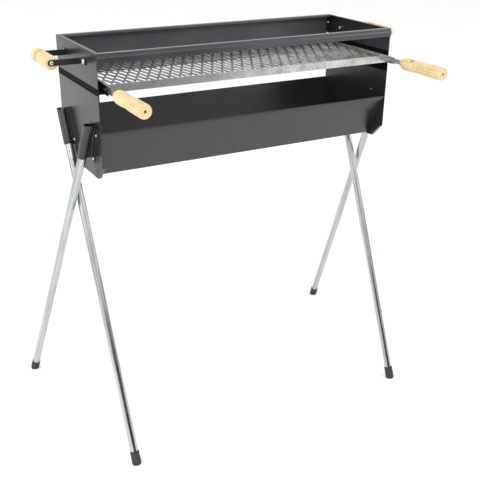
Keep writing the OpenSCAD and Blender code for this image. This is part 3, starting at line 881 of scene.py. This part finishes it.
def strand_path(k, half_y):
    """Points (y, side) of one strand: side -1 at the bonds on its left, 1 at those on its right."""
    step = PITCH_Y / 2
    points = []
    rows = int(half_y / step) + 2
    for row in range(-rows, rows + 1):
        side = 1 if (row + k) % 2 else -1
        for y, reach in ((row * step - BOND * 1.5, 0.93), (row * step - BOND * 0.7, 1.0),
                         (row * step + BOND * 0.7, 1.0), (row * step + BOND * 1.5, 0.93)):
            points.append((y, side * reach))
    inside = [p for p in points if abs(p[0]) < half_y - 0.3 * MM]
    ends = []
    for edge in (-half_y, half_y):
        before = max((p for p in points if p[0] <= edge), key=lambda p: p[0])
        after = min((p for p in points if p[0] > edge), key=lambda p: p[0])
        t = (edge - before[0]) / (after[0] - before[0])
        ends.append((edge, before[1] + (after[1] - before[1]) * t))
    return [ends[0]] + inside + [ends[1]]


def add_grate_frame(finish):
    for node in ("grate_front_bar", "grate_back_bar", "grate_side_bar_left",
                 "grate_side_bar_right", "grate_strap_left", "grate_strap_right"):
        softened(node, "grate", finish, 0.4 * MM)


# ---------------------------------------------------------------- wood

def handle_profile(length, radius):
    """Turned grate handle from its inner end: rounded barrel, slight waist, straight grip."""
    bore = 2.6 * MM
    profile = [(bore, 0.0)]
    nose, waist, tail = 0.16, 0.42, 0.965
    count = 60
    for i in range(count + 1):
        s = i / count
        r = radius * (1 - 0.085 * math.exp(-((s - waist) / 0.12) ** 2))
        if s < nose:
            r *= math.sqrt(1 - (1 - s / nose) ** 2 * 0.45)
        if s < 0.02:
            r -= radius * 0.12 * (1 - s / 0.02) ** 2
        if s > tail:
            r -= radius * 0.17 * ((s - tail) / (1 - tail)) ** 2
        profile.append((r, s * length))
    profile += [(bore + 0.5 * MM, length), (bore, length - 0.6 * MM)]
    return profile


def add_grate_handles():
    for side, sign in SIDES.items():
        node = f"grate_handle_{side}"
        low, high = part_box(node)
        radius = (high.x - low.x) / 2
        length = high.y - low.y
        knot = (-0.0065, 0.0112, 0.034) if side == "right" else None
        finish = pine_material(f"pale_pine_grate_{side}", (0.004 * sign, 0.019), knot)
        data = lathe(node + ".turned", handle_profile(length, radius), 72)
        at = Matrix.Translation(((low.x + high.x) / 2, high.y, (low.z + high.z) / 2))
        at = at @ Matrix.Rotation(math.pi / 2, 4, "X")
        finish_piece(node + ".turned", data, "grate", finish, node, at)


def grip_profile(length, radius):
    """Side grip: eased ends and two rounded grooves towards the back."""
    profile = [(0.0, 0.0), (radius - 2.2 * MM, 0.0)]
    profile += arc((radius - 2.2 * MM, 2.2 * MM), 2.2 * MM, -90, 0, 6)[1:]
    for share in (0.62, 0.74):
        z = length * share
        profile += [(radius, z - 3.4 * MM)]
        profile += [(radius - 1.3 * MM * math.cos(math.radians(a)) ** 2, z + 2.6 * MM * a / 90)
                    for a in range(-75, 76, 15)]
        profile += [(radius, z + 3.4 * MM)]
    profile += arc((radius - 2.2 * MM, length - 2.2 * MM), 2.2 * MM, 0, 90, 6)
    profile += [(0.0, length)]
    return profile


def add_side_grips():
    for side, sign in SIDES.items():
        node = f"side_grip_{side}"
        low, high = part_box(node)
        radius = (high.x - low.x) / 2
        length = high.y - low.y
        finish = pine_material(f"pale_pine_grip_{side}", (0.003 * sign, -0.014),
                               dark_groove_rings=(0.62 * length, 0.74 * length))
        data = lathe(node + ".turned", grip_profile(length, radius), 64)
        at = Matrix.Translation(((low.x + high.x) / 2, low.y, (low.z + high.z) / 2))
        at = at @ Matrix.Rotation(-math.pi / 2, 4, "X")
        finish_piece(node + ".turned", data, "roaster_box", finish, node, at)


# ---------------------------------------------------------------- fasteners

def solid_boxes(node):
    """Lowest and highest corner of each separate solid of a CAD node."""
    bm = bmesh.new()
    bm.from_mesh(frame["nodes"][node].data)
    bmesh.ops.remove_doubles(bm, verts=bm.verts, dist=0.002 * MM)
    seen, found = set(), []
    for vert in bm.verts:
        if vert.index in seen:
            continue
        stack, island = [vert], []
        seen.add(vert.index)
        while stack:
            v = stack.pop()
            island.append(v.co.copy())
            for edge in v.link_edges:
                other = edge.other_vert(v)
                if other.index not in seen:
                    seen.add(other.index)
                    stack.append(other)
        low = Vector(min(c[i] for c in island) for i in range(3))
        high = Vector(max(c[i] for c in island) for i in range(3))
        found.append((low, high))
    bm.free()
    return found


def standing(at, out):
    """Matrix that puts a piece's Z along out, at a point."""
    return Matrix.Translation(at) @ Vector(out).to_track_quat("Z", "Y").to_matrix().to_4x4()


def outward_places(node, distance):
    """For each solid of a CAD node, a matrix level with its middle, with Z away from the box's
    middle. distance gives how far out, from the solid's own inner and outer distances."""
    places = []
    for low, high in solid_boxes(node):
        sign = math.copysign(1, low.x)
        inner, outer = sorted((abs(low.x), abs(high.x)))
        middle = (low + high) / 2
        at = (sign * distance(inner, outer), middle.y, middle.z)
        places.append(standing(at, (sign, 0, 0)))
    return places


def crossed(name, data, depth_z, size, width):
    """Cuts a cross recess, of the given size and width, down to depth_z."""
    cutter = bmesh.new()
    for turn in (0, 90):
        arm = bmesh.ops.create_cube(cutter, size=1.0)["verts"]
        bmesh.ops.scale(cutter, vec=(size, width, 4 * MM), verts=arm)
        bmesh.ops.translate(cutter, vec=(0, 0, depth_z + 2 * MM), verts=arm)
        bmesh.ops.rotate(cutter, cent=(0, 0, 0), verts=arm,
                         matrix=Matrix.Rotation(math.radians(turn), 3, "Z"))
    tool_data = bpy.data.meshes.new("cutter")
    cutter.to_mesh(tool_data)
    cutter.free()
    tool = bpy.data.objects.new("cutter", tool_data)
    bpy.context.scene.collection.objects.link(tool)
    made = applied(name, data, ("BOOLEAN", {"operation": "DIFFERENCE", "object": tool,
                                            "solver": "EXACT", "use_self": True}))
    bpy.data.objects.remove(tool)
    return made


def pan_screw(name, shank_r, shank, head_r, head_h):
    """Pan-head screw: its head's underside at z = 0, head up, threaded shank down."""
    profile = [(0, -shank), (shank_r * 0.45, -shank + 0.1 * MM)]
    pitch = 0.9 * MM
    z = -shank + 1.2 * MM
    while z < -pitch:
        profile += [(shank_r * 0.78, z), (shank_r, z + pitch * 0.45)]
        z += pitch
    profile += [(shank_r * 0.8, -0.2 * MM), (shank_r * 0.8, 0), (head_r - 0.15 * MM, 0)]
    profile += [(head_r, 0.2 * MM), (head_r * 0.97, head_h * 0.45), (head_r * 0.84, head_h * 0.78),
                (head_r * 0.6, head_h * 0.95), (head_r * 0.3, head_h), (0, head_h)]
    data = lathe(name, profile, 28)
    return crossed(name, data, head_h * 0.45, head_r * 1.05, head_r * 0.26)


def dome_rivet(name, shank_r, grip, head_r, head_h):
    """Rivet from z = 0 to grip, with a shallow dome at each end."""
    dome = [(head_r * math.cos(math.radians(a)), head_h * math.sin(math.radians(a)))
            for a in range(0, 91, 15)]
    profile = [(r, -h) for r, h in dome[::-1]] + [(shank_r, 0), (shank_r, grip)]
    profile += [(r, grip + h) for r, h in dome]
    return lathe(name, profile, 28)


def grouped(node, body, finish, part, places):
    """Copies of a fastener as one piece, in place of the CAD node that holds them all."""
    data = repeated(node + ".set", part, places)
    finish_piece(node + ".set", data, body, finish, node)


def add_fasteners(finish):
    screw_head = 1.4 * MM
    screw = pan_screw("socket_screw", 1.6 * MM, 3.1 * MM, 3.0 * MM, screw_head)
    grouped("socket_screws", "roaster_box", finish, screw,
            outward_places("socket_screws", lambda inner, outer: outer - screw_head))

    screw = pan_screw("corner_screw", 1.5 * MM, 9 * MM, 3.4 * MM, 1.6 * MM)
    back_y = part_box("upper_back_panel")[1].y
    grouped("corner_screws", "roaster_box", finish, screw,
            [standing(((low.x + high.x) / 2, back_y, (low.z + high.z) / 2), (0, 1, 0))
             for low, high in solid_boxes("corner_screws")])

    rivet_head = 0.65 * MM
    rivet = dome_rivet("grate_rivet", 1.3 * MM, 3.02 * MM, 2.45 * MM, rivet_head)
    grouped("grate_rivets", "grate", finish, rivet,
            outward_places("grate_rivets", lambda inner, outer: inner + rivet_head))

    add_arm_bolts(finish)
    add_grip_screws(finish)


def add_arm_bolts(finish):
    """Round-headed bolts outside the end panels and hexagon nuts inside them."""
    panel_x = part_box("lower_end_panel_right")[1].x
    arm_t, nut_h = 2 * MM, 4 * MM
    bolt = pan_screw("arm_bolt", 2.5 * MM, SHEET + 6 * MM + arm_t, 4.8 * MM, 2.6 * MM)
    grouped("side_arm_bolts", "roaster_box", finish, bolt,
            outward_places("side_arm_bolts", lambda inner, outer: panel_x + arm_t))
    nut = hex_nut("arm_nut", 4.6 * MM, 2.53 * MM, nut_h)
    grouped("side_arm_nuts", "roaster_box", finish, nut,
            outward_places("side_arm_nuts", lambda inner, outer: panel_x - SHEET - nut_h))


def hex_nut(name, radius, bore, height):
    """Hexagon nut whose corners are turned off at both ends."""
    verts, faces, segments = [], [], 48
    levels = [(0.0, "bore"), (0.0, "round"), (0.12, "hex"), (0.88, "hex"), (1.0, "round"),
              (1.0, "bore")]
    flat = radius * math.cos(math.pi / 6)
    for z, kind in levels:
        for i in range(segments):
            angle = math.tau * i / segments
            hexagon = flat / math.cos((angle + math.pi / 6) % (math.pi / 3) - math.pi / 6)
            r = {"bore": bore, "round": flat * 0.98, "hex": hexagon}[kind]
            verts.append((r * math.cos(angle), r * math.sin(angle), z * height))
    for row in range(len(levels)):
        for i in range(segments):
            j, after = (i + 1) % segments, (row + 1) % len(levels)
            faces.append([row * segments + i, row * segments + j, after * segments + j,
                          after * segments + i])
    return mesh_of(name, verts, faces)


def add_grip_screws(finish):
    """Ring-shaped screw heads at both ends of each side grip."""
    profile = [(0, -14 * MM), (0.8 * MM, -13.6 * MM), (1.58 * MM, -12 * MM), (1.58 * MM, 0),
               (3.7 * MM, 0), (3.8 * MM, 0.2 * MM), (3.6 * MM, 1.1 * MM), (3.0 * MM, 1.8 * MM),
               (2.4 * MM, 2.0 * MM), (1.5 * MM, 1.9 * MM), (1.3 * MM, 0.7 * MM), (0, 0.6 * MM)]
    screw = lathe("grip_screw", profile, 32)
    places = []
    for low, high in solid_boxes("side_grip_screws"):
        middle = (low + high) / 2
        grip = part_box("side_grip_right" if middle.x > 0 else "side_grip_left")
        front = middle.y < (grip[0].y + grip[1].y) / 2
        y = low.y + 2 * MM if front else high.y - 2 * MM
        places.append(standing((middle.x, y, middle.z), (0, -1 if front else 1, 0)))
    grouped("side_grip_screws", "roaster_box", finish, screw, places)


# ---------------------------------------------------------------- the whole scene

def build():
    bpy.context.scene.view_settings.view_transform = "Standard"
    add_world()
    add_floor()
    add_area_light("key", (-1.6, -2.4, 3.2), (0, 0, 0.6), (2.4, 1.6), 62)
    add_area_light("fill", (2.6, -1.4, 2.2), (0, 0, 0.6), (1.8, 1.8), 28)
    add_area_light("left", (-2.8, 0.5, 1.2), (0, 0, 0.7), (2.2, 1.6), 28)
    add_dark_cards()
    add_camera()
    paint = black_paint_material("black_paint", 0.011, 0.24, 0.32)
    add_box_sheets(paint)
    add_sockets(paint)
    add_mesh(galvanised_material("galvanised_mesh", (0.09, 0.09, 0.092), (0.40, 0.40, 0.40),
                                 0.26, 0.46))
    add_grate_frame(galvanised_material("galvanised_steel", (0.34, 0.33, 0.325),
                                        (0.74, 0.74, 0.74), 0.22, 0.42))
    add_grate_handles()
    add_side_grips()
    add_legs(zinc_tube_material(), rubber_material())
    add_fasteners(fastener_material())


build()
